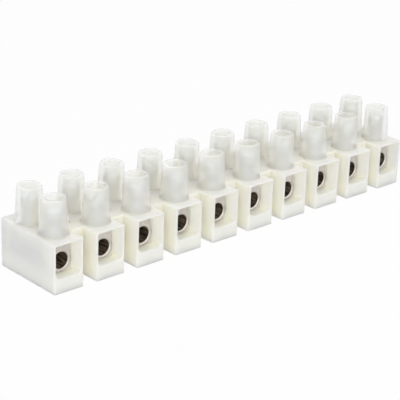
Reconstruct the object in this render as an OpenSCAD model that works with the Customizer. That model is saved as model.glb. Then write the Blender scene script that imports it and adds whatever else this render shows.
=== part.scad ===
// Terminal strip with screw towers, as used to join the cores of flexible leads.
// One moulded insulator carries a plated insert in every pole. A wire goes into each
// end of an insert and is held by a clamp screw, reached down the well of its tower.
// Millimetres. X runs along the row, Y from front to back and Z up.
// The origin is at the middle of the base.

/* [Row] */
// Number of poles
poles = 10; // [2:1:12]
// Distance from one pole to the next
pitch = 12; // [11.8:0.1:15]

/* [Blocks] */
// Width of a block along the row
block_w = 8.2; // [7.8:0.1:8.3]
// Depth of a block from front face to back face
block_d = 20.9; // [19:0.1:26]
// Height of a block
block_h = 12.2; // [12:0.1:15]
// Radius on the upright edges of a block
edge_r = 0.3; // [0.1:0.05:0.35]

/* [Webs] */
// Depth of the webs that join the blocks
web_d = 10.8; // [6:0.1:13]
// Diameter of the fixing hole through each web
fixing_d = 3.4; // [2.5:0.1:3.4]

/* [Screw towers] */
// Distance from a block's face in to the axis of its tower
tower_inset = 5.78; // [5.5:0.02:6.4]
// Height of a tower above its block
tower_h = 9.05; // [8:0.05:12]
// Diameter of a tower at its foot
tower_foot_d = 7; // [6.6:0.1:7.1]
// Diameter of a tower at its rim
tower_rim_d = 6; // [5.6:0.1:6.4]
// Radius on the outer edge of a rim
rim_r = 0.35; // [0.1:0.05:0.5]
// Width and height of the bevel round the foot of a tower
foot_bevel = 0.3; // [0.1:0.05:0.35]
// Width and height of the bevel at the mouth of a well
well_bevel = 0.25; // [0.1:0.05:0.35]

/* [Wire funnels] */
// Distance from a block's face in to the insert
funnel_d = 3.15; // [2:0.05:4]
// Side wall left beside a funnel's mouth
mouth_side = 0.45; // [0.4:0.05:0.8]
// Roof left over a funnel's mouth
mouth_roof = 0.45; // [0.4:0.05:0.6]
// Radius in the lower corners of a funnel
corner_r = 1.5; // [0.5:0.1:2]

/* [Inserts] */
// Diameter of the wire bore
wire_d = 4.1; // [3.4:0.1:4.2]
// Height of the wire bore's axis above the base
wire_z = 6.45; // [5:0.05:6.5]
// Wall round the wire bore
insert_wall = 0.75; // [0.5:0.05:0.8]
// Roof of a block over its insert's cavity
cavity_roof = 0.85; // [0.8:0.05:1.2]
// Width of the flat top
insert_top_w = 4; // [3.7:0.1:4.4]
// Width of the neck where it meets the round of the insert
neck_w = 5.2; // [4.8:0.1:5.2]
// Bevel at each end of the wire bore
wire_bevel = 0.25; // [0.1:0.05:0.4]
// Clearance round an insert in its cavity
insert_fit = 0.05; // [0.02:0.01:0.1]

/* [Clamp screws] */
// Outer diameter of the thread
thread_d = 3; // [2.4:0.1:3]
// Clearance between a thread and its tapped hole, on the radius
thread_fit = 0.05; // [0.02:0.01:0.1]
// Diameter of the head
head_d = 3.9; // [3.4:0.05:3.9]
// Height of the head
head_h = 2.2; // [1.6:0.1:2.6]
// Clearance between a head and its well, on the radius
well_fit = 0.08; // [0.02:0.01:0.1]
// Length of a screw from the top of its head to its tip
screw_l = 9.95; // [8:0.05:10.5]
// Width of the driver slot
slot_w = 0.7; // [0.5:0.05:1]
// Depth of the driver slot
slot_d = 1.1; // [0.6:0.05:1.4]
// Bevel on the tip and on the rim of the head
screw_bevel = 0.3; // [0.1:0.05:0.4]
// Gap from an open screw's tip down to the wire bore
open_gap = 0.1; // [0.05:0.05:0.5]

/* [Hidden] */
// Cuts run this far past the faces they open
past = 1;
// Angle from one screw's slot to the next in the row, as they happen to stand
slot_turn = 37;
// Steps in the rounding of a rim
rim_steps = 3;
round_fn = 48;

pole_x = [for (i = [0 : poles - 1]) (i - (poles - 1) / 2) * pitch];
sides = [["front", -1], ["back", 1]];
row_l = (poles - 1) * pitch + block_w;
tower_y = block_d / 2 - tower_inset;
rim_z = block_h + tower_h;
well_d = head_d + 2 * well_fit;
insert_r = wire_d / 2 + insert_wall;
insert_l = block_d - 2 * funnel_d;
cavity_r = insert_r + insert_fit;
cavity_top_z = block_h - cavity_roof;
insert_top_z = cavity_top_z - insert_fit;
insert_rise = insert_top_z - wire_z;
floor_z = wire_z - cavity_r;
mouth_w = block_w - 2 * mouth_side;
mouth_top_z = block_h - mouth_roof;
tip_z = wire_z + wire_d / 2 + open_gap;
head_top_z = tip_z + screw_l;

function two_digits(n) = n < 10 ? str("0", n) : str(n);
function insert_name(i) = str("insert_", two_digits(i + 1));
function screw_name(side, i) = str("screw_", side, "_", two_digits(i + 1));

// ---- Shared outlines ----

// A rectangle with round corners, as plain squares and circles
module round_rect(w, d, r) {
    square([w - 2 * r, d], center = true);
    square([w, d - 2 * r], center = true);
    for (x = [-1, 1], y = [-1, 1])
        translate([x * (w / 2 - r), y * (d / 2 - r)])
            circle(r = r, $fn = 24);
}

// Section of an insert about the wire axis, grown by a clearance: round below, with a
// tapered neck up to the flat top that is tapped for the screws
module insert_section(grow) {
    circle(r = insert_r + grow, $fn = round_fn);
    polygon([
        [-neck_w / 2 - grow, 0],
        [neck_w / 2 + grow, 0],
        [insert_top_w / 2 + grow, insert_rise + grow],
        [-insert_top_w / 2 - grow, insert_rise + grow]
    ]);
}

// Sweeps a front-view outline along Y through the given length, centred on Y = 0
module along_y(length) {
    rotate([90, 0, 0])
        linear_extrude(length, center = true) children();
}

// ---- Insulator strip ----

module block() {
    linear_extrude(block_h) round_rect(block_w, block_d, edge_r);
}

// The webs are one bar through the row, so that their faces line up in every gap
module web_bar() {
    length = row_l - block_w;
    translate([-length / 2, -web_d / 2, 0]) cube([length, web_d, block_h]);
}

// Rounded and tapered tower, sunk a little into its block
module tower() {
    foot = tower_foot_d / 2;
    rim = tower_rim_d / 2;
    rotate_extrude($fn = 64)
        polygon(concat(
            [[0, -past], [foot + foot_bevel, -past], [foot + foot_bevel, 0], [foot, foot_bevel]],
            [for (k = [0 : rim_steps])
                let (a = 90 * k / rim_steps)
                [rim - rim_r * (1 - cos(a)), tower_h - rim_r * (1 - sin(a))]],
            [[0, tower_h]]
        ));
}

// Well down a tower and through the roof of the cavity, with a bevelled mouth
module well() {
    translate([0, 0, cavity_top_z - past])
        cylinder(d = well_d, h = rim_z - cavity_top_z + 2 * past, $fn = round_fn);
    translate([0, 0, rim_z - well_bevel])
        cylinder(r1 = well_d / 2, r2 = well_d / 2 + well_bevel + past, h = well_bevel + past, $fn = round_fn);
}

module insert_cavity() {
    translate([0, 0, wire_z]) along_y(insert_l + past) insert_section(insert_fit);
}

// Plan of a funnel, opening from the insert's width to the mouth at the block's face
module funnel_plan() {
    face = -block_d / 2;
    spread = (mouth_w / 2 - cavity_r) / funnel_d;
    polygon([
        [-cavity_r, face + funnel_d],
        [cavity_r, face + funnel_d],
        [mouth_w / 2 + spread * past, face - past],
        [-mouth_w / 2 - spread * past, face - past]
    ]);
}

// Side view of a funnel: level floor, and a roof that rises from the cavity to the mouth
module funnel_side() {
    face = -block_d / 2;
    rise = (mouth_top_z - cavity_top_z) / funnel_d;
    polygon([
        [face + funnel_d, floor_z],
        [face + funnel_d, cavity_top_z],
        [face - past, mouth_top_z + rise * past],
        [face - past, floor_z]
    ]);
}

// Front view of a funnel: square above and round in the two lower corners
module funnel_front() {
    half = mouth_w / 2 + past;
    inner = mouth_w / 2 - corner_r;
    for (x = [-inner, inner])
        translate([x, floor_z + corner_r]) circle(r = corner_r, $fn = 32);
    translate([-inner, floor_z]) square([2 * inner, corner_r]);
    translate([-half, floor_z + corner_r]) square([2 * half, block_h]);
}

module funnel() {
    intersection() {
        linear_extrude(rim_z) funnel_plan();
        rotate([90, 0, 90]) linear_extrude(2 * block_w, center = true) funnel_side();
        along_y(2 * block_d) funnel_front();
    }
}

module fixing_hole() {
    translate([0, 0, -past]) cylinder(d = fixing_d, h = block_h + 2 * past, $fn = round_fn);
}

module insulator_strip() {
    color([0.93, 0.92, 0.86]) difference() {
        union() {
            web_bar();
            for (x = pole_x) translate([x, 0, 0]) {
                block();
                for (s = sides) translate([0, s[1] * tower_y, block_h]) tower();
            }
        }
        for (x = pole_x) translate([x, 0, 0]) {
            insert_cavity();
            funnel();
            mirror([0, 1, 0]) funnel();
            for (s = sides) translate([0, s[1] * tower_y, 0]) well();
        }
        for (i = [1 : poles - 1]) translate([pole_x[i] - pitch / 2, 0, 0]) fixing_hole();
    }
}

// ---- Inserts ----

// Tapped hole from the flat top down into the wire bore
module tapped_hole() {
    translate([0, 0, wire_z])
        cylinder(d = thread_d + 2 * thread_fit, h = insert_rise + past, $fn = round_fn);
}

// Bevelled mouth of the wire bore, at the insert's front end
module wire_mouth() {
    translate([0, -insert_l / 2, wire_z]) rotate([-90, 0, 0])
        translate([0, 0, -wire_bevel])
            cylinder(r1 = wire_d / 2 + 2 * wire_bevel, r2 = wire_d / 2, h = 2 * wire_bevel, $fn = round_fn);
}

module insert() {
    color([0.72, 0.69, 0.66]) difference() {
        translate([0, 0, wire_z]) along_y(insert_l) insert_section(0);
        translate([0, 0, wire_z]) along_y(insert_l + 2 * past) circle(d = wire_d, $fn = round_fn);
        wire_mouth();
        mirror([0, 1, 0]) wire_mouth();
        for (s = sides) translate([0, s[1] * tower_y, 0]) tapped_hole();
    }
}

// ---- Clamp screws ----

// Slotted cheese-head screw, backed out so that its tip just clears the wire bore
module clamp_screw(turn) {
    head = head_d / 2;
    shank = thread_d / 2;
    color([0.66, 0.68, 0.68]) translate([0, 0, tip_z]) difference() {
        rotate_extrude($fn = round_fn)
            polygon([
                [0, 0],
                [shank - screw_bevel, 0],
                [shank, screw_bevel],
                [shank, screw_l - head_h],
                [head, screw_l - head_h],
                [head, screw_l - screw_bevel],
                [head - screw_bevel, screw_l],
                [0, screw_l]
            ]);
        rotate([0, 0, turn])
            translate([-head_d, -slot_w / 2, screw_l - slot_d])
                cube([2 * head_d, slot_w, slot_d + past]);
    }
}

insulator_strip();
for (i = [0 : poles - 1])
    translate([pole_x[i], 0, 0]) insert();
for (s = sides, i = [0 : poles - 1])
    translate([pole_x[i], s[1] * tower_y, 0]) clamp_screw(slot_turn * (2 * i + s[1]));
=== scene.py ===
"""Looks of a terminal strip with screw towers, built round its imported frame.

The insulator is one milky moulding, with a plated insert in every pole and a slotted
clamp screw down each tower. Places come from the frame's own boxes, in metres.
"""

import logging
import math
from contextlib import contextmanager
from dataclasses import dataclass, field
from enum import Enum
from typing import Callable, Iterator

import bpy
from mathutils import Matrix, Vector


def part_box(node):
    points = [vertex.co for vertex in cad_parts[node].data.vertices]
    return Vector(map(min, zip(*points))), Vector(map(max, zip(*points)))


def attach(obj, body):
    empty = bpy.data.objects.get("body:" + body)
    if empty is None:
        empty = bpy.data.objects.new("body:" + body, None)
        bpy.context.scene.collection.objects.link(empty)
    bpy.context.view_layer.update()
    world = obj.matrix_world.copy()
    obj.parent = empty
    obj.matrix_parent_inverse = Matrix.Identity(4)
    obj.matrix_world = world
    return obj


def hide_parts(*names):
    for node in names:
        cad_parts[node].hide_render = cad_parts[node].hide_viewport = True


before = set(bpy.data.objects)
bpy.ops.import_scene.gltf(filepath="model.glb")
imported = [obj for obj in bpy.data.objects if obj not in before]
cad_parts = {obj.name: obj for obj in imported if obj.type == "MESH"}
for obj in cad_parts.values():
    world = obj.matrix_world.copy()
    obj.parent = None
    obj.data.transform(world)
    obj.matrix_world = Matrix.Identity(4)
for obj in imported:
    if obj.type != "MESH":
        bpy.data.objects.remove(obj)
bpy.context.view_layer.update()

MM = 0.001
BLOCK_HEIGHT = 12.2 * MM
# A direction's share of an axis: above ALONG it runs along it, below ACROSS it stands across.
ALONG = 0.9
ACROSS = 0.1
MERGE_GAP = 0.001 * MM
FLAT_ANGLE = math.radians(0.5)
FLAT_WEIGHT = 60
WHITE = (1.0, 1.0, 1.0, 1.0)
LOG = logging.getLogger("terminal_strip")

Colour = tuple[float, float, float]
Socket = bpy.types.NodeSocket
Piece = bpy.types.Object


class Slot(Enum):
    """The record's material slot names; this script gives them to no piece."""

    PLASTIC = "natural_plastic"
    INSERT = "plated_insert"
    SCREW = "screw_steel"


class Side(Enum):
    """The two rows of towers, with the sign of their place along Y."""

    FRONT = -1
    BACK = 1

    @property
    def word(self) -> str:
        """The side's name, as the frame's nodes and bodies use it."""
        return self.name.lower()


# ---- Working with meshes ----


def select_only(piece: Piece) -> None:
    """Makes a piece the one selected and active object.

    Args:
        piece: The piece to select.
    """
    bpy.ops.object.select_all(action="DESELECT")
    piece.select_set(True)
    bpy.context.view_layer.objects.active = piece


@contextmanager
def editing(piece: Piece, everything: bool = False) -> Iterator[None]:
    """Opens a piece in edit mode, with what is picked on it, and closes it again.

    Args:
        piece: The mesh object to edit.
        everything: Whether to select all of it first.

    Returns:
        An iterator that gives nothing, once.
    """
    select_only(piece)
    bpy.ops.object.mode_set(mode="EDIT")
    if everything:
        bpy.ops.mesh.select_all(action="SELECT")
    try:
        yield
    finally:
        bpy.ops.object.mode_set(mode="OBJECT")


def clear_picks(piece: Piece, mode: str) -> None:
    """Deselects all of a piece and sets the kind of element that is picked next.

    Args:
        piece: The mesh object.
        mode: VERT, EDGE or FACE, the kind that is picked next.
    """
    with editing(piece):
        bpy.ops.mesh.select_mode(type=mode)
        bpy.ops.mesh.select_all(action="DESELECT")


def pick_faces(piece: Piece, wanted: Callable[[bpy.types.MeshPolygon], bool]) -> None:
    """Picks the faces that pass a test, for the next edit.

    Args:
        piece: The mesh object.
        wanted: The test, which is given each face.
    """
    clear_picks(piece, "FACE")
    for face in piece.data.polygons:
        if wanted(face):
            face.select = True


def pick_edges(piece: Piece, wanted: Callable[[Vector, Vector], bool]) -> None:
    """Picks the edges that pass a test, for the next edit.

    Args:
        piece: The mesh object.
        wanted: The test, which is given the middle and the direction of each edge.
    """
    clear_picks(piece, "EDGE")
    corners = piece.data.vertices
    for edge in piece.data.edges:
        first, last = (corners[index].co for index in edge.vertices)
        if wanted((first + last) / 2, (last - first).normalized()):
            edge.select = True


def apply_modifiers(piece: Piece) -> None:
    """Applies every modifier of a piece, first to last.

    Args:
        piece: The piece whose modifiers are applied.
    """
    select_only(piece)
    for modifier in list(piece.modifiers):
        bpy.ops.object.modifier_apply(modifier=modifier.name)


def settle(piece: Piece, name: str) -> Piece:
    """Names a new piece and puts its place, turn and scale into its mesh.

    Args:
        piece: The new piece.
        name: The name for it and its mesh.

    Returns:
        The same piece.
    """
    select_only(piece)
    bpy.ops.object.transform_apply(location=True, rotation=True, scale=True)
    piece.name = name
    piece.data.name = name
    return piece


def moved(piece: Piece, place: Vector, turn: float = 0.0) -> Piece:
    """Moves a piece modelled about the origin, and turns it about Z, in its own mesh.

    Args:
        piece: A piece modelled about the origin.
        place: Where its origin comes, in metres.
        turn: How far it is turned about Z, in radians.

    Returns:
        The same piece.
    """
    piece.location = place
    piece.rotation_euler = (0.0, 0.0, turn)
    return settle(piece, piece.name)


def primitive(kind: str, name: str, **settings: object) -> Piece:
    """Adds one of Blender's mesh primitives, settled at once.

    Args:
        kind: The primitive's name in bpy.ops.mesh, without its ends.
        name: The new piece's name.
        settings: What the operator is given.

    Returns:
        The new piece.
    """
    bpy.ops.object.select_all(action="DESELECT")
    getattr(bpy.ops.mesh, f"primitive_{kind}_add")(**settings)
    return settle(bpy.context.object, name)


def copy_piece(piece: Piece, name: str, place: Vector, turn: float = 0.0) -> Piece:
    """Copies a piece, with a mesh of its own.

    Args:
        piece: The object to copy, modelled about the origin.
        name: The copy's name.
        place: Where the copy's own origin comes, in metres.
        turn: How far it is turned about Z, in radians.

    Returns:
        The copy, with its place in its mesh.
    """
    copy = piece.copy()
    copy.data = piece.data.copy()
    bpy.context.scene.collection.objects.link(copy)
    copy.name = name
    return moved(copy, place, turn)


def discard(*pieces: Piece) -> None:
    """Deletes patterns and cutters, once their copies or cuts are made."""
    for piece in pieces:
        bpy.data.objects.remove(piece, do_unlink=True)


def combine(piece: Piece, operation: str, *others: Piece) -> Piece:
    """Joins other closed forms to a piece, cuts them out or keeps what they share.

    Args:
        piece: The form that is changed.
        operation: UNION, DIFFERENCE or INTERSECT.
        others: The other forms, which are discarded.

    Returns:
        The changed piece.
    """
    group = bpy.data.collections.new("operands")
    for other in others:
        group.objects.link(other)
    boolean = piece.modifiers.new("combine", "BOOLEAN")
    boolean.operation = operation
    boolean.solver = "EXACT"
    boolean.operand_type = "COLLECTION"
    boolean.collection = group
    apply_modifiers(piece)
    discard(*others)
    bpy.data.collections.remove(group)
    return piece


def face_out(piece: Piece) -> None:
    """Turns every normal of a closed form outward."""
    with editing(piece, everything=True):
        bpy.ops.mesh.normals_make_consistent(inside=False)


def block_form(name: str, low: Vector, high: Vector) -> Piece:
    """Makes a rectangular block between two corners."""
    return primitive("cube", name, size=1, location=(low + high) / 2, scale=high - low)


def round_edges(
    piece: Piece, wanted: Callable[[Vector, Vector], bool], radius: float, segments: int
) -> None:
    """Rounds the edges that pass a test on their middle and direction.

    Args:
        piece: The mesh object.
        wanted: The test for each edge.
        radius: Radius of the rounding, in metres.
        segments: Faces across the rounding.
    """
    pick_edges(piece, wanted)
    with editing(piece):
        bpy.ops.mesh.bevel(offset=radius, segments=segments, affect="EDGES")


def turned(name: str, profile: list[tuple[float, float]], sides: int) -> Piece:
    """Turns a closed form about the Z axis.

    Args:
        name: The form's name.
        profile: Radius and height of each ring, from the lowest up, in metres.
        sides: Faces round the form.

    Returns:
        The form, flat at both ends.
    """
    radius, height = profile[0]
    piece = primitive(
        "circle", name, vertices=sides, radius=radius, fill_type="NGON", location=(0, 0, height)
    )
    with editing(piece, everything=True):
        for wide, high in profile[1:]:
            bpy.ops.mesh.extrude_region_move(
                TRANSFORM_OT_translate={"value": (0, 0, high - height)}
            )
            bpy.ops.transform.resize(value=(wide / radius, wide / radius, 1))
            radius, height = wide, high
    face_out(piece)
    return piece


def quarter(
    middle: tuple[float, float], radius: float, start: float, end: float, steps: int = 4
) -> list[tuple[float, float]]:
    """Lists points along an arc of a profile.

    Args:
        middle: Radius and height of the arc's centre, in metres.
        radius: Radius of the arc, in metres.
        start: First angle, in degrees from straight outward.
        end: Last angle, in degrees.
        steps: Lines along the arc.

    Returns:
        The points, first to last.
    """
    angles = [math.radians(start + (end - start) * step / steps) for step in range(steps + 1)]
    return [
        (middle[0] + radius * math.cos(a), middle[1] + radius * math.sin(a)) for a in angles
    ]


def shade(piece: Piece, sharp: float = math.radians(40)) -> None:
    """Shades a piece smooth but for its sharp edges, with its flat faces kept flat.

    Args:
        piece: The mesh object.
        sharp: The least angle between faces that stays sharp, in radians.
    """
    select_only(piece)
    bpy.ops.object.shade_smooth_by_angle(angle=sharp)
    weighted = piece.modifiers.new("flat faces", "WEIGHTED_NORMAL")
    weighted.keep_sharp = True
    weighted.weight = FLAT_WEIGHT
    apply_modifiers(piece)


def soften(piece: Piece, radius: float, sharp: float, segments: int = 2) -> None:
    """Rounds a piece's sharp edges and shades it smooth.

    Args:
        piece: The mesh object.
        radius: Width of the rounding, in metres.
        sharp: The least angle between faces that counts as an edge, in radians.
        segments: Faces across the rounding.
    """
    bevel = piece.modifiers.new("soft edges", "BEVEL")
    bevel.width = radius
    bevel.segments = segments
    bevel.limit_method = "ANGLE"
    bevel.angle_limit = sharp
    bevel.use_clamp_overlap = False
    bevel.miter_outer = "MITER_ARC"
    apply_modifiers(piece)
    bpy.ops.object.shade_smooth_by_angle(angle=sharp)


def whole_copy(node: str, name: str) -> Piece:
    """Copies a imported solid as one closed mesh, with its flat faces made whole.

    Args:
        node: The solid's name in the frame.
        name: The new piece's name.

    Returns:
        The new piece.
    """
    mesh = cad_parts[node].data.copy()
    mesh.materials.clear()
    mesh.name = name
    piece = bpy.data.objects.new(name, mesh)
    bpy.context.scene.collection.objects.link(piece)
    with editing(piece, everything=True):
        bpy.ops.mesh.remove_doubles(threshold=MERGE_GAP)
        bpy.ops.mesh.dissolve_limited(angle_limit=FLAT_ANGLE)
        bpy.ops.mesh.normals_make_consistent(inside=False)
    return piece


# ---- Finishes ----


class Graph:
    """A material and short calls that add nodes to it."""

    def __init__(self, name: str) -> None:
        """Starts a material with its own shader and Object coordinates.

        Args:
            name: The material's name.
        """
        self.material = bpy.data.materials.new(name)
        self.material.use_nodes = True
        self.tree = self.material.node_tree
        self.shader = self.tree.nodes["Principled BSDF"]
        self.output = self.tree.nodes["Material Output"]
        self.place = self.node("ShaderNodeTexCoord").outputs["Object"]

    def node(self, kind: str, **settings: object) -> bpy.types.Node:
        """Adds a node of that kind, with its settings.

        Args:
            kind: The node's type.
            settings: Its properties and their values.

        Returns:
            The new node.
        """
        made = self.tree.nodes.new(kind)
        for name, value in settings.items():
            setattr(made, name, value)
        return made

    def link(self, source: object, target: Socket) -> None:
        """Links an output, or sets a plain value, on a socket.

        Args:
            source: An output socket, or a plain value.
            target: The input that gets it.
        """
        if isinstance(source, bpy.types.NodeSocket):
            self.tree.links.new(source, target)
        else:
            target.default_value = source

    def maths(self, operation: str, *values: object, clamp: bool = False) -> Socket:
        """Adds a Math node over the values, and returns its result.

        Args:
            operation: The Math operation.
            values: Its inputs, each a socket or a number.
            clamp: Whether the result is kept from 0 to 1.

        Returns:
            The result.
        """
        made = self.node("ShaderNodeMath", operation=operation, use_clamp=clamp)
        for value, target in zip(values, made.inputs):
            self.link(value, target)
        return made.outputs["Value"]

    def spread(self, share: Socket, middle: float, width: float) -> Socket:
        """Spreads a share of 0 to 1 evenly about a middle value."""
        return self.maths("MULTIPLY_ADD", share, width, middle - width / 2)

    def axes(self, vector: Socket | None = None) -> tuple[Socket, Socket, Socket]:
        """Splits a vector, or the Object coordinates, into X, Y and Z.

        Args:
            vector: The vector to split, or None for the Object coordinates.

        Returns:
            Its three parts.
        """
        made = self.node("ShaderNodeSeparateXYZ")
        self.link(vector or self.place, made.inputs["Vector"])
        return tuple(made.outputs[:3])

    def step(self, value: Socket, low: float, high: float) -> Socket:
        """Rises smoothly from 0 at low to 1 at high, or falls if high is the lower.

        Args:
            value: What is measured.
            low: Where the result is 0.
            high: Where it is 1.

        Returns:
            The result, from 0 to 1.
        """
        made = self.node("ShaderNodeMapRange", interpolation_type="SMOOTHSTEP")
        low_out, high_out = (0.0, 1.0) if low < high else (1.0, 0.0)
        ends = (min(low, high), max(low, high), low_out, high_out)
        self.link(value, made.inputs["Value"])
        for name, end in zip(("From Min", "From Max", "To Min", "To Max"), ends):
            made.inputs[name].default_value = end
        return made.outputs["Result"]

    def between(self, share: Socket, first: float, last: float) -> Socket:
        """Goes from the first number at share 0 to the last at share 1."""
        return self.maths("MULTIPLY_ADD", share, last - first, first)

    def noise(self, size: float, detail: float = 2.0, stretch: Colour = (1, 1, 1)) -> Socket:
        """Adds noise whose features are about size across, in metres.

        Args:
            size: How large the features are, in metres.
            detail: How many finer layers are added.
            stretch: How the pattern is scaled along X, Y and Z.

        Returns:
            The noise, about 0 to 1.
        """
        mapping = self.node("ShaderNodeMapping")
        self.link(self.place, mapping.inputs["Vector"])
        mapping.inputs["Scale"].default_value = stretch
        made = self.node("ShaderNodeTexNoise")
        self.link(mapping.outputs["Vector"], made.inputs["Vector"])
        made.inputs["Scale"].default_value = 1.0 / size
        made.inputs["Detail"].default_value = detail
        return made.outputs["Fac"]

    def blend(self, share: object, first: object, second: object, mode: str = "MIX") -> Socket:
        """Mixes two colours. A plain colour is three numbers.

        Args:
            share: How much of the second, from 0 to 1.
            first: The first colour.
            second: The second colour.
            mode: How they are mixed.

        Returns:
            The mixed colour.
        """
        made = self.node("ShaderNodeMix", data_type="RGBA", blend_type=mode)
        sockets = (made.inputs["Factor"], made.inputs[6], made.inputs[7])
        for value, target in zip((share, first, second), sockets):
            self.link((*value, 1.0) if isinstance(value, tuple) else value, target)
        return made.outputs[2]

    def openness(self, reach: float) -> Socket:
        """Is 1 on open faces, and less where the piece's own walls stand within reach.

        Args:
            reach: How far a wall may stand to count, in metres.

        Returns:
            The open share, from 0 to 1.
        """
        made = self.node("ShaderNodeAmbientOcclusion", samples=12, only_local=True)
        made.inputs["Distance"].default_value = reach
        return made.outputs["AO"]

    def lit(self) -> Socket:
        """Is 1 on a ray from a lamp, which a milky wall lets partly through."""
        return self.node("ShaderNodeLightPath").outputs["Is Shadow Ray"]

    def outside(self) -> Socket:
        """Is 1 where a ray enters the piece, and 0 where it leaves it from within."""
        inside = self.node("ShaderNodeNewGeometry").outputs["Backfacing"]
        return self.maths("SUBTRACT", 1.0, inside)

    def relief(self, height: Socket, depth: float, strength: float = 1.0) -> None:
        """Bumps the surface by a height of 0 to 1 over depth, in metres.

        Args:
            height: The height, from 0 to 1.
            depth: What a height of 1 measures, in metres.
            strength: How strongly it shows, from 0 to 1.
        """
        made = self.node("ShaderNodeBump")
        made.inputs["Strength"].default_value = strength
        made.inputs["Distance"].default_value = depth
        self.link(height, made.inputs["Height"])
        self.link(made.outputs["Normal"], self.shader.inputs["Normal"])

    def set(self, **values: object) -> None:
        """Sets the shader's sockets.

        Args:
            values: What each socket gets. An underscore stands for a space in its name.
        """
        for name, value in values.items():
            value = (*value, 1.0) if isinstance(value, tuple) and "Color" in name else value
            self.link(value, self.shader.inputs[name.replace("_", " ")])


@dataclass(frozen=True)
class NaturalPlastic:
    """Uncoloured nylon, milky and clearer in the thin towers; painted cream shade between its
    walls, painted brown shadow in creases.
    """

    block_height: float = BLOCK_HEIGHT
    block: Colour = (0.875, 0.88, 0.825)
    tower_foot: Colour = (1.0, 0.96, 0.87)
    tower_rim: Colour = (0.985, 0.94, 0.845)
    # Painted shade: a warm cream tint where the piece's own walls stand close round a face.
    shut_in_painted_shade: Colour = (0.955, 0.92, 0.79)
    # Painted shadow: brown for the narrowest creases, such as the cavity's edge round each
    # insert.
    crevice_painted_shadow: Colour = (0.72, 0.55, 0.36)
    reach: float = 7 * MM
    shut_painted_shade_range: tuple[float, float] = (0.95, 0.3)
    crevice_shadow_range: tuple[float, float] = (0.14, 0.02)
    foot_low: float = 0.3 * MM
    foot_high: float = 0.6 * MM
    tower_rise: float = 9 * MM
    grain: float = 0.35 * MM
    grain_depth: float = 0.004 * MM
    grain_strength: float = 0.5
    cloud: float = 2.5 * MM
    roughness: float = 0.36
    roughness_spread: float = 0.12
    ior: float = 1.5
    scatter: float = 3.5 * MM
    scatter_colour: Colour = (1.0, 0.97, 0.9)
    foot_solid: float = 0.74
    rim_solid: float = 0.57
    lets_through: float = 0.4

    def build(self) -> bpy.types.Material:
        """Makes the material.

        Returns:
            The material.
        """
        graph = Graph("natural plastic")
        height = graph.axes()[2]
        foot = (self.block_height - self.foot_low, self.block_height + self.foot_high)
        in_tower = graph.step(height, *foot)
        # Painted shade from the piece's own ambient occlusion: cream where walls close in, brown
        # in the tightest creases.
        open_share = graph.openness(self.reach)
        shut_painted_shade_share = graph.step(open_share, *self.shut_painted_shade_range)
        crevice_shadow_share = graph.step(open_share, *self.crevice_shadow_range)
        up_tower = graph.step(height, self.block_height, self.block_height + self.tower_rise)
        tower = graph.blend(up_tower, self.tower_foot, self.tower_rim)
        milky = graph.blend(in_tower, self.block, tower)
        graph.relief(graph.noise(self.grain, 2), self.grain_depth, self.grain_strength)
        cloud = graph.noise(self.cloud, 3)
        clear = graph.between(up_tower, 1.0 - self.foot_solid, 1.0 - self.rim_solid)
        solid = graph.maths("SUBTRACT", 1.0, graph.maths("MULTIPLY", clear, in_tower))
        dense = graph.between(graph.lit(), 1.0, 1.0 - self.lets_through)
        graph.set(
            Base_Color=graph.blend(crevice_shadow_share, graph.blend(shut_painted_shade_share, milky, self.shut_in_painted_shade), self.crevice_painted_shadow),
            Roughness=graph.spread(cloud, self.roughness, self.roughness_spread),
            IOR=self.ior,
            Subsurface_Weight=1.0,
            Subsurface_Radius=self.scatter_colour,
            Subsurface_Scale=self.scatter,
            Alpha=graph.maths("MULTIPLY", graph.maths("MULTIPLY", solid, dense), graph.outside()),
        )
        return graph.material


@dataclass(frozen=True)
class Plating:
    """Plate with the fine marks of drawing or turning: bright nickel or zinc, or a dark brown
    copy that is painted shadow.
    """

    name: str
    colour: Colour
    roughness: float
    marks: Colour
    metallic: float = 1.0
    mark_size: float = 0.25 * MM
    mark_depth: float = 0.006 * MM
    mark_strength: float = 0.6
    cloud: float = 1.6 * MM
    cloud_range: tuple[float, float] = (0.35, 0.75)
    dullest: float = 0.86
    roughness_spread: float = 0.2

    def build(self) -> bpy.types.Material:
        """Makes the material.

        Returns:
            The material.
        """
        graph = Graph(self.name)
        marks = graph.noise(self.mark_size, 3, self.marks)
        cloud = graph.noise(self.cloud, 3)
        darker = tuple(c * self.dullest for c in self.colour)
        graph.relief(marks, self.mark_depth, self.mark_strength)
        graph.set(
            Base_Color=graph.blend(graph.step(cloud, *self.cloud_range), self.colour, darker),
            Metallic=self.metallic,
            Roughness=graph.spread(marks, self.roughness, self.roughness_spread),
        )
        return graph.material


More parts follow.
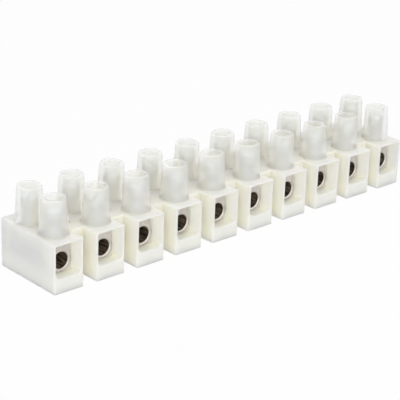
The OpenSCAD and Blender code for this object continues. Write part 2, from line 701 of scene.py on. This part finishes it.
@dataclass(frozen=True)
class DrawnBrassAndShade:
    """Bare brass in a wire bore, scored lengthwise; dark partly as brass, partly as painted
    shade, darkest at the mouths.
    """

    length: float
    # Partly the bore's own dark brass tone and partly painted shade of a deep hole.
    dark_brass_and_shade: Colour = (0.045, 0.032, 0.02)
    light: Colour = (0.24, 0.185, 0.125)
    # Painted shade: for this length inside each mouth no lighter scores show.
    mouth: float = 1.2 * MM
    metallic: float = 0.4
    score_size: float = 0.45 * MM
    score_stretch: Colour = (1.0, 0.12, 1.0)
    score_range: tuple[float, float] = (0.38, 0.64)
    score_depth: float = 0.03 * MM
    score_strength: float = 0.8
    roughness: float = 0.5
    roughness_spread: float = 0.2

    def build(self) -> bpy.types.Material:
        """Makes the material.

        Returns:
            The material.
        """
        graph = Graph("drawn brass and painted shade")
        scores = graph.noise(self.score_size, 2, self.score_stretch)
        # Painted shade near the mouths: the lighter scores fade out toward each end of the bore.
        along = graph.maths("ABSOLUTE", graph.axes()[1])
        clear_of_mouth_shade = graph.step(along, self.length / 2, self.length / 2 - self.mouth)
        share = graph.maths("MULTIPLY", graph.step(scores, *self.score_range), clear_of_mouth_shade)
        graph.relief(scores, self.score_depth, self.score_strength)
        graph.set(
            Base_Color=graph.blend(share, self.dark_brass_and_shade, self.light),
            Metallic=self.metallic,
            Roughness=graph.spread(scores, self.roughness, self.roughness_spread),
        )
        return graph.material


MARKS_ALONG_Y: Colour = (1.0, 0.1, 1.0)
MARKS_ALONG_Z: Colour = (1.0, 1.0, 0.2)
NICKEL_PLATE = Plating("nickel plate", (0.68, 0.645, 0.61), 0.62, MARKS_ALONG_Y)
# Painted shadow: the insert's sides against the plastic are dark brown for the shade in the thin
# gap round them.
GAP_SHADOW_PLATE = Plating("plate with painted gap shadow", (0.20, 0.15, 0.10), 0.6, MARKS_ALONG_Y)
ZINC_PLATE = Plating("zinc plate", (0.74, 0.78, 0.795), 0.62, MARKS_ALONG_Z, metallic=0.55)


# ---- Pieces ----


def lay_out(node: str) -> tuple[Vector, Vector, Vector]:
    """Measures a node: its middle, its size and its lowest corner."""
    low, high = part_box(node)
    return (low + high) / 2, high - low, low


@dataclass
class Moulding:
    """The insulator that every pole shares, with its towers, wells and wire funnels."""

    poles: int
    pitch: float
    tower_y: float
    insert_low: Vector
    insert_high: Vector
    block_height: float = BLOCK_HEIGHT
    well_radius: float = 2.03 * MM
    upright_edge: float = 0.3 * MM
    edge: float = 0.13 * MM
    web_depth: float = 10.8 * MM
    web_overlap: float = 0.25 * MM
    fixing_radius: float = 1.7 * MM
    foot_radius: float = 3.5 * MM
    rim_radius: float = 3.0 * MM
    rim_edge: float = 0.35 * MM
    foot_fillet: float = 0.3 * MM
    mouth_flare: float = 0.25 * MM
    mouth_side: float = 0.45 * MM
    mouth_roof: float = 0.45 * MM
    corner_radius: float = 1.5 * MM
    insert_fit: float = 0.05 * MM
    insert_round: float = 2.8 * MM
    neck_half: float = 2.6 * MM
    top_half: float = 2.0 * MM
    past: float = 1.0 * MM
    cutter_margin: float = 0.05 * MM
    face_slack: float = 0.1 * MM
    hole_margin: float = 0.01 * MM
    lip_side: float = 0.03 * MM
    lip_top: float = 0.02 * MM
    round_sides: int = 64
    hole_sides: int = 48
    edge_steps: int = 3
    corner_steps: int = 10
    node: str = "insulator_strip"
    half_depth: float = field(init=False)
    half_width: float = field(init=False)
    rim_height: float = field(init=False)
    wire_height: float = field(init=False)

    def __post_init__(self) -> None:
        """Takes the outer sizes from the frame."""
        low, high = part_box(self.node)
        self.half_depth = high.y
        self.half_width = (high.x - low.x - (self.poles - 1) * self.pitch) / 2
        self.rim_height = high.z
        self.wire_height = self.insert_low.z + self.insert_round

    @property
    def floor_height(self) -> float:
        """Height of the floor of a funnel and of the lowest line of the cavity."""
        return self.insert_low.z - self.insert_fit

    @property
    def cavity_top(self) -> float:
        """Height of the cavity's roof."""
        return self.insert_high.z + self.insert_fit

    def block(self) -> Piece:
        """Models a block with rounded edges.

        Returns:
            The block.
        """
        corner = Vector((self.half_width, self.half_depth, 0))
        block = block_form("block", -corner, corner + Vector((0, 0, self.block_height)))
        round_edges(block, lambda _, way: abs(way.z) > ALONG, self.upright_edge, self.edge_steps)
        round_edges(block, lambda _, way: abs(way.z) < ACROSS, self.edge, self.edge_steps)
        return block

    def tower(self) -> Piece:
        """Models a tapered tower, from a fillet at its foot to its rounded rim.

        Returns:
            The tower, sunk into its block.
        """
        foot = self.block_height
        profile = [(self.foot_radius + self.foot_fillet, foot - self.past)]
        profile += quarter(
            (self.foot_radius + self.foot_fillet, foot + self.foot_fillet),
            self.foot_fillet,
            start=270,
            end=180,
        )
        profile += quarter(
            (self.rim_radius - self.rim_edge, self.rim_height - self.rim_edge),
            self.rim_edge,
            start=5,
            end=90,
            steps=5,
        )
        return turned("tower", profile, self.round_sides)

    def well(self) -> Piece:
        """Models the cutter of a well, which flares at the tower's mouth.

        Returns:
            The cutter.
        """
        mouth = quarter(
            (self.well_radius + self.mouth_flare, self.rim_height - self.mouth_flare),
            self.mouth_flare,
            start=180,
            end=105,
            steps=3,
        )
        widest = self.well_radius + self.mouth_flare + self.cutter_margin
        above = (widest, self.rim_height + self.past)
        below = (self.well_radius, self.cavity_top - self.past)
        return turned("well", [below, *mouth, above], self.round_sides)

    def cavity(self) -> Piece:
        """Models the cutter of the insert's cavity: a round with a tapered neck.

        Returns:
            The cutter.
        """
        length = self.insert_high.y - self.insert_low.y + self.past
        grown = self.insert_fit
        cavity = primitive(
            "cylinder",
            "cavity",
            vertices=self.round_sides,
            radius=self.insert_round + grown,
            depth=length,
            location=(0, 0, self.wire_height),
            rotation=(math.pi / 2, 0, 0),
        )
        neck = block_form(
            "neck",
            Vector((-self.neck_half - grown, -length / 2, self.wire_height)),
            Vector((self.neck_half + grown, length / 2, self.cavity_top)),
        )
        pick_faces(neck, lambda face: face.normal.z > ALONG)
        narrow = (self.top_half + grown) / (self.neck_half + grown)
        with editing(neck):
            bpy.ops.transform.resize(value=(narrow, 1, 1))
        return combine(cavity, "UNION", neck)

    def funnel(self, side: Side) -> Piece:
        """Models the cutter of a wire funnel.

        Args:
            side: The face that the funnel opens to.

        Returns:
            A tapered block with round lower corners, past the block's face by a little.
        """
        half_mouth = self.half_width - self.mouth_side
        half_inner = self.insert_round + self.insert_fit
        depth = self.half_depth - self.insert_high.y
        mouth_top = self.block_height - self.mouth_roof
        face, inner = side.value * self.half_depth, side.value * self.insert_high.y
        outer = face + side.value * self.past
        reach = (depth + self.past) / depth
        wide = half_inner + (half_mouth - half_inner) * reach
        tall = self.cavity_top + (mouth_top - self.cavity_top) * reach - self.floor_height
        funnel = block_form(
            "funnel",
            Vector((-wide, min(inner, outer), self.floor_height)),
            Vector((wide, max(inner, outer), self.floor_height + tall)),
        )
        pick_faces(funnel, lambda face_: abs(face_.center.y - inner) < self.face_slack)
        with editing(funnel):
            bpy.ops.transform.resize(
                value=(half_inner / wide, 1, (self.cavity_top - self.floor_height) / tall),
                center_override=(0, inner, self.floor_height),
            )
        front = self.rounded_bar(
            "funnel_front", half_mouth, self.block_height, (inner - side.value * self.past, outer)
        )
        return combine(funnel, "INTERSECT", front)

    def rounded_bar(self, name: str, half: float, top: float, ends: tuple[float, float]) -> Piece:
        """Models a bar along Y with the mouth's front view: round in both lower corners.

        Args:
            name: The bar's name.
            half: Half its width, in metres.
            top: Height of its top, in metres.
            ends: Where its two ends are along Y, in metres.

        Returns:
            The bar.
        """
        bar = block_form(
            name, Vector((-half, min(ends), self.floor_height)), Vector((half, max(ends), top))
        )
        round_edges(
            bar,
            lambda middle, way: abs(way.y) > ALONG and middle.z < self.wire_height,
            self.corner_radius,
            self.corner_steps,
        )
        return bar

    def lip(self, side: Side) -> Piece:
        """Models the cutter that takes the sharpness off a mouth's edge.

        Args:
            side: The face that the mouth is in.

        Returns:
            A block that widens past the face.
        """
        half = self.half_width - self.mouth_side - self.lip_side
        top = self.block_height - self.mouth_roof - self.lip_top
        tall = (top - self.floor_height) / 2
        start = side.value * (self.half_depth - self.edge)
        end = side.value * (self.half_depth + self.past)
        grow = self.past + self.edge
        lip = self.rounded_bar("lip", half, top, (start, end))
        pick_faces(lip, lambda face: face.normal.y * side.value > ALONG)
        with editing(lip):
            bpy.ops.transform.resize(
                value=((half + grow) / half, 1, (tall + grow) / tall),
                center_override=(0, end, self.floor_height + tall),
            )
        return lip

    def web(self, x: float) -> Piece:
        """Models a web with its fixing hole.

        Args:
            x: The middle of the gap that the web spans, in metres.

        Returns:
            A block that reaches a little into both neighbours.
        """
        reach = self.pitch / 2 - self.half_width + self.web_overlap
        corner = Vector((reach, self.web_depth / 2, 0))
        web = block_form("web", -corner, corner + Vector((0, 0, self.block_height)))
        round_edges(web, lambda _, way: abs(way.x) > ALONG, self.edge, self.edge_steps)
        middle = (self.fixing_radius + self.edge, self.edge)
        low = quarter(middle, self.edge, start=270, end=180, steps=self.edge_steps)
        high = [(wide, self.block_height - up) for wide, up in reversed(low)]
        below = (low[0][0] + self.hole_margin, -self.past)
        above = (below[0], self.block_height + self.past)
        hole = turned("fixing_hole", [below, *low, *high, above], self.hole_sides)
        combine(web, "DIFFERENCE", hole)
        return moved(web, Vector((x, 0, 0)))

    def pole(self) -> Piece:
        """Models one pole, about the middle of its base.

        Returns:
            The pole, with all its openings.
        """
        pole = self.block()
        pattern = self.tower()
        towers = [copy_piece(pattern, "tower", self.tower_place(side)) for side in Side]
        combine(pole, "UNION", *towers)
        cutter = self.well()
        wells = [copy_piece(cutter, "well", self.tower_place(side)) for side in Side]
        discard(pattern, cutter)
        cuts = [self.cavity(), *wells]
        for side in Side:
            cuts += [self.funnel(side), self.lip(side)]
        for cutter in cuts:
            combine(pole, "DIFFERENCE", cutter)
        return pole

    def tower_place(self, side: Side) -> Vector:
        """Returns where a tower's axis stands in its pole."""
        return Vector((0, side.value * self.tower_y, 0))

    def build(self, finish: bpy.types.Material) -> Piece:
        """Models the whole moulding and dresses it.

        Args:
            finish: The plastic.

        Returns:
            The finished piece.
        """
        pole = self.pole()
        with_web = combine(copy_piece(pole, "pole", Vector()), "UNION", self.web(self.pitch / 2))
        start = -(self.poles - 1) / 2 * self.pitch
        row = [
            copy_piece(with_web, "pole", Vector((start + number * self.pitch, 0, 0)))
            for number in range(self.poles - 1)
        ]
        row.append(copy_piece(pole, "pole", Vector((-start, 0, 0))))
        discard(pole, with_web)
        while len(row) > 1:
            odd_one = row[len(row) // 2 * 2 :]
            pairs = zip(row[::2], row[1::2])
            row = [combine(left, "UNION", right) for left, right in pairs] + odd_one
        piece = row[0]
        settle(piece, "moulding")
        shade(piece)
        piece.data.materials.append(finish)
        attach(piece, "strip")
        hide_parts(self.node)
        return piece


@dataclass
class Inserts:
    """The plated inserts, one in each pole."""

    count: int
    edge: float = 0.1 * MM
    sharp: float = math.radians(28)
    wire_height: float = 6.45 * MM
    wire_radius: float = 2.05 * MM
    bore_margin: float = 0.02 * MM
    most_lean: float = 0.5

    def in_bore(self, face: bpy.types.MeshPolygon, middle: Vector) -> bool:
        """Tells whether a face is on the wall of the wire bore.

        Args:
            face: The face.
            middle: The middle of its insert, in metres.

        Returns:
            Whether it is.
        """
        across = Vector((face.center.x - middle.x, face.center.z - self.wire_height))
        near = across.length < self.wire_radius + self.bore_margin
        return near and abs(face.normal.y) < self.most_lean

    def on_flank(self, face: bpy.types.MeshPolygon, middle: Vector) -> bool:
        """Tells whether a face is on a side that lies against the plastic."""
        return abs(face.normal.y) < self.most_lean and not self.in_bore(face, middle)

    def build(
        self, plate: bpy.types.Material, bore: bpy.types.Material, flank: bpy.types.Material
    ) -> list[Piece]:
        """Models and dresses every insert.

        Args:
            plate: The finish of the ends.
            bore: The finish inside the wire bore.
            flank: The finish of the sides that lie against the plastic: dark brown, painted
                shadow of the gap round the insert.

        Returns:
            The finished pieces.
        """
        pieces = []
        for number in range(1, self.count + 1):
            node = f"insert_{number:02d}"
            piece = whole_copy(node, f"wire_{node}")
            middle = lay_out(node)[0]
            finishes = (
                (plate, lambda face: True),
                (bore, lambda face: self.in_bore(face, middle)),
                (flank, lambda face: self.on_flank(face, middle)),
            )
            for index, (finish, wanted) in enumerate(finishes):
                piece.data.materials.append(finish)
                pick_faces(piece, wanted)
                piece.active_material_index = index
                with editing(piece):
                    bpy.ops.object.material_slot_assign()
            soften(piece, self.edge, self.sharp)
            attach(piece, "strip")
            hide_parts(node)
            pieces.append(piece)
        return pieces


@dataclass
class ClampScrews:
    """The slotted screws, one down every tower."""

    count: int
    thread_radius: float = 1.5 * MM
    thread_depth: float = 0.3 * MM
    thread_pitch: float = 0.5 * MM
    ridge_half: float = 0.42
    ridge_sunk: float = 0.1 * MM
    ridge_steps: int = 24
    sides: int = 40
    sharp: float = math.radians(30)
    head_height: float = 2.2 * MM
    slot_width: float = 0.7 * MM
    slot_depth: float = 1.1 * MM
    slot_turn: float = math.radians(37)
    bevel: float = 0.3 * MM
    head_radius: float = field(init=False)
    length: float = field(init=False)

    def __post_init__(self) -> None:
        """Takes the head's radius and the screw's length from the frame."""
        _, size, _ = lay_out("screw_front_01")
        self.head_radius = size.x / 2
        self.length = size.z

    def shaft_and_head(self) -> Piece:
        """Models the shaft and the head as one turned form, standing on its tip.

        Returns:
            The form, without slot or thread.
        """
        root = self.thread_radius - self.thread_depth
        shaft = self.length - self.head_height
        piece = primitive(
            "cylinder",
            "screw_pattern",
            vertices=self.sides,
            radius=root,
            depth=shaft,
            location=(0, 0, shaft / 2),
        )
        pick_faces(piece, lambda face: face.normal.z < -ALONG)
        with editing(piece):
            bpy.ops.mesh.bevel(offset=self.bevel, segments=1, affect="EDGES")
        pick_faces(piece, lambda face: face.normal.z > ALONG)
        with editing(piece):
            grow = self.head_radius / root
            bpy.ops.mesh.extrude_region_move()
            bpy.ops.transform.resize(value=(grow, grow, 1))
            bpy.ops.mesh.extrude_region_move(
                TRANSFORM_OT_translate={"value": (0, 0, self.head_height)}
            )
        pick_faces(piece, lambda face: face.normal.z > ALONG)
        with editing(piece):
            bpy.ops.mesh.bevel(offset=self.bevel, segments=3, affect="EDGES")
        return piece

    def thread(self) -> Piece:
        """Models the thread as a three-sided ridge wound round the shaft.

        Returns:
            The ridge, closed at both ends.
        """
        root = self.thread_radius - self.thread_depth
        low = self.bevel + self.thread_pitch / 2
        turns = int((self.length - self.head_height - low) / self.thread_pitch) - 1
        ridge = primitive(
            "circle",
            "thread",
            vertices=3,
            radius=self.thread_pitch / 2,
            rotation=(math.pi / 2, 0, 0),
            location=(root, 0, low),
        )
        rise = self.ridge_half * self.thread_pitch
        corners = ((-self.ridge_sunk, rise), (self.thread_depth, 0.0), (-self.ridge_sunk, -rise))
        for vertex, (out, up) in zip(ridge.data.vertices, corners):
            vertex.co = (root + out, 0, low + up)
        wind = ridge.modifiers.new("wind", "SCREW")
        wind.axis = "Z"
        wind.angle = 2 * math.pi
        wind.iterations = turns
        wind.screw_offset = self.thread_pitch
        wind.steps = self.ridge_steps
        wind.render_steps = self.ridge_steps
        wind.use_merge_vertices = True
        apply_modifiers(ridge)
        with editing(ridge, everything=True):
            bpy.ops.mesh.fill_holes(sides=3)
            bpy.ops.mesh.normals_make_consistent(inside=False)
        return ridge

    def pattern(self) -> Piece:
        """Models one screw, standing on its tip at the origin.

        Returns:
            The screw.
        """
        piece = self.shaft_and_head()
        cutter = primitive(
            "cube",
            "slot_cutter",
            size=1,
            location=(0, 0, self.length),
            scale=(4 * self.head_radius, self.slot_width, 2 * self.slot_depth),
        )
        combine(piece, "DIFFERENCE", cutter)
        select_only(piece)
        bpy.ops.object.shade_smooth_by_angle(angle=self.sharp)
        ridge = self.thread()
        select_only(ridge)
        bpy.ops.object.shade_smooth_by_angle(angle=self.sharp)
        piece.select_set(True)
        bpy.context.view_layer.objects.active = piece
        bpy.ops.object.join()
        return piece

    def build(self, finish: bpy.types.Material) -> list[Piece]:
        """Models one screw, copies it down every tower and dresses the copies.

        Args:
            finish: The screws' plating.

        Returns:
            The finished pieces.
        """
        pattern = self.pattern()
        pattern.data.materials.append(finish)
        pieces = []
        for side in Side:
            for number in range(1, self.count + 1):
                node = f"screw_{side.word}_{number:02d}"
                middle, _, low = lay_out(node)
                turn = self.slot_turn * (2 * (number - 1) + side.value)
                piece = copy_piece(
                    pattern, f"clamp_{node}", Vector((middle.x, middle.y, low.z)), turn
                )
                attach(piece, node)
                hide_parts(node)
                pieces.append(piece)
        discard(pattern)
        return pieces


# ---- Studio ----


@dataclass(frozen=True)
class Lamp:
    """A square soft lamp: its place in metres, its side in metres and its power in watts."""

    name: str
    place: Colour
    power: float
    size: float = 0.8


@dataclass(frozen=True)
class Studio:
    """White floor, soft lamps and the camera."""

    aim: Vector = field(default_factory=lambda: Vector((-2.4473, 3.1076, 5.2113)) * MM)
    azimuth: float = math.radians(-42.3645)
    elevation: float = math.radians(22.115)
    roll: float = math.radians(1.9728)
    distance: float = 371.9 * MM
    lens: float = 131.75
    sensor: float = 36
    nearest: float = 0.01
    floor_size: float = 6.0
    floor_cells: int = 8
    floor_grey: float = 0.85
    floor_roughness: float = 0.9
    floor_glow: float = 0.95
    floor_drop: float = 0.02 * MM
    ambient: float = 0.29
    lamps: tuple[Lamp, ...] = (
        Lamp("front", (0.5, -0.82, 0.45), 2.0),
        Lamp("left", (-0.7, -0.7, 0.45), 5.0),
        Lamp("end", (-0.95, -0.05, 0.45), 1.2),
        Lamp("top", (0.1, 0.1, 1.1), 4.9),
    )

    def camera(self) -> None:
        """Makes the camera and aims it."""
        flat = math.cos(self.elevation)
        back = Vector(
            (
                math.sin(self.azimuth) * flat,
                -math.cos(self.azimuth) * flat,
                math.sin(self.elevation),
            )
        )
        right = (-back).cross(Vector((0, 0, 1))).normalized()
        up = right.cross(-back)
        turned_right = math.cos(self.roll) * right + math.sin(self.roll) * up
        turned_up = -math.sin(self.roll) * right + math.cos(self.roll) * up
        turn = Matrix((turned_right, turned_up, back)).transposed().to_4x4()
        data = bpy.data.cameras.new("camera")
        data.lens = self.lens
        data.sensor_width = self.sensor
        data.clip_start = self.nearest
        camera = bpy.data.objects.new("camera", data)
        camera.matrix_world = Matrix.Translation(self.aim + back * self.distance) @ turn
        bpy.context.scene.collection.objects.link(camera)
        bpy.context.scene.camera = camera

    def hang(self, lamp: Lamp) -> None:
        """Hangs a lamp so that it faces the object.

        Args:
            lamp: What it is and where it hangs.
        """
        data = bpy.data.lights.new(lamp.name, "AREA")
        data.size = lamp.size
        data.energy = lamp.power
        hung = bpy.data.objects.new(lamp.name, data)
        hung.location = lamp.place
        hung.rotation_euler = (self.aim - hung.location).to_track_quat("-Z", "Y").to_euler()
        bpy.context.scene.collection.objects.link(hung)

    def world(self) -> None:
        """Makes the world white to the camera, mirrors and glass, and softly lit."""
        world = bpy.data.worlds.new("studio")
        world.use_nodes = True
        bpy.context.scene.world = world
        tree = world.node_tree
        path = tree.nodes.new("ShaderNodeLightPath")
        background = tree.nodes["Background"]
        background.inputs["Color"].default_value = WHITE
        seen = tree.nodes.new("ShaderNodeMath")
        seen.operation = "MAXIMUM"
        either = tree.nodes.new("ShaderNodeMath")
        either.operation = "MAXIMUM"
        tree.links.new(path.outputs["Is Camera Ray"], seen.inputs[0])
        tree.links.new(path.outputs["Is Glossy Ray"], seen.inputs[1])
        tree.links.new(seen.outputs[0], either.inputs[0])
        tree.links.new(path.outputs["Is Transmission Ray"], either.inputs[1])
        level = tree.nodes.new("ShaderNodeMapRange")
        level.inputs["To Min"].default_value = self.ambient
        level.inputs["To Max"].default_value = 1.0
        tree.links.new(either.outputs[0], level.inputs["Value"])
        tree.links.new(level.outputs["Result"], background.inputs["Strength"])

    def floor(self) -> None:
        """Lays a white floor that shows the object's shadow only faintly."""
        floor = primitive(
            "grid",
            "floor",
            x_subdivisions=self.floor_cells,
            y_subdivisions=self.floor_cells,
            size=self.floor_size,
            location=(0, 0, -self.floor_drop),
        )
        material = bpy.data.materials.new("white floor")
        material.use_nodes = True
        tree = material.node_tree
        shader = tree.nodes["Principled BSDF"]
        shader.inputs["Base Color"].default_value = (*[self.floor_grey] * 3, 1)
        shader.inputs["Roughness"].default_value = self.floor_roughness
        shader.inputs["Specular IOR Level"].default_value = 0.0
        glow = tree.nodes.new("ShaderNodeEmission")
        glow.inputs["Color"].default_value = WHITE
        path = tree.nodes.new("ShaderNodeLightPath")
        share = tree.nodes.new("ShaderNodeMath")
        share.operation = "MULTIPLY"
        share.inputs[1].default_value = self.floor_glow
        tree.links.new(path.outputs["Is Camera Ray"], share.inputs[0])
        mix = tree.nodes.new("ShaderNodeMixShader")
        tree.links.new(share.outputs[0], mix.inputs["Fac"])
        tree.links.new(shader.outputs["BSDF"], mix.inputs[1])
        tree.links.new(glow.outputs["Emission"], mix.inputs[2])
        tree.links.new(mix.outputs["Shader"], tree.nodes["Material Output"].inputs["Surface"])
        floor.data.materials.append(material)

    def build(self) -> None:
        """Sets the whole studio."""
        self.camera()
        self.world()
        self.floor()
        for lamp in self.lamps:
            self.hang(lamp)
        bpy.context.scene.view_settings.view_transform = "Standard"


def main() -> None:
    """Builds the studio, then every piece in order."""
    logging.basicConfig(level=logging.INFO, format="%(name)s: %(message)s")
    Studio().build()
    count = len([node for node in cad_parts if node.startswith("insert_")])
    first, insert_size, _ = lay_out("insert_01")
    second, _, _ = lay_out("insert_02")
    screw, _, _ = lay_out("screw_front_01")
    plastic = NaturalPlastic().build()
    plate = NICKEL_PLATE.build()
    flank = GAP_SHADOW_PLATE.build()
    bore = DrawnBrassAndShade(length=insert_size.y).build()
    zinc = ZINC_PLATE.build()
    moulding = Moulding(
        poles=count,
        pitch=second.x - first.x,
        tower_y=abs(screw.y),
        insert_low=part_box("insert_01")[0],
        insert_high=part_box("insert_01")[1],
    ).build(plastic)
    LOG.info("%s: %d faces", moulding.name, len(moulding.data.polygons))
    for piece in (*Inserts(count).build(plate, bore, flank), *ClampScrews(count).build(zinc)):
        LOG.info("%s: %d faces", piece.name, len(piece.data.polygons))


if __name__ == "__main__":
    main()
